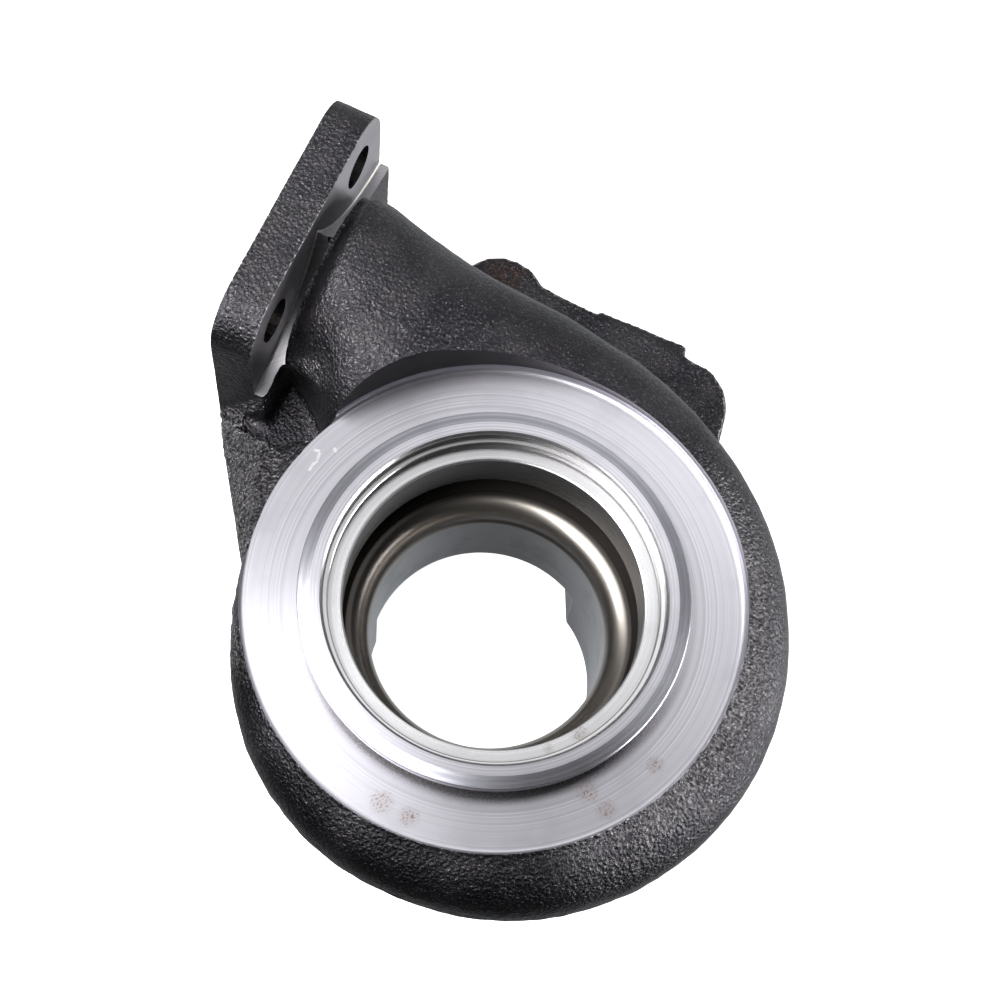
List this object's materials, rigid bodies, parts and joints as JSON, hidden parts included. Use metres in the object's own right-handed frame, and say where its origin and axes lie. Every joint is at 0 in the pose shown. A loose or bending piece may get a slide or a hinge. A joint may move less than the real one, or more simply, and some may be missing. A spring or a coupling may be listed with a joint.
{
  "type": "turbocharger turbine housing",
  "caption": "Cast iron turbine volute with a tangential square inlet flange, a machined clamp ring and clearance face round a stepped bore, and a lobed discharge flange.",
  "frame": {"origin": "middle of the footprint box on the plane of the machined discharge face", "axes": "+Z along the wheel axis, from the discharge face to the clamp ring; +Y towards the inlet flange, +X towards the volute's outer turn"},
  "size_m": [0.1312, 0.189, 0.082],
  "materials": {
    "turbine_housing": "dark as-cast skin with fine sand texture; bright machined faces, bores and bolt seats"
  },
  "bodies": {
    "root": {"turbine_housing": "turbine_housing"}
  },
  "joints": []
}
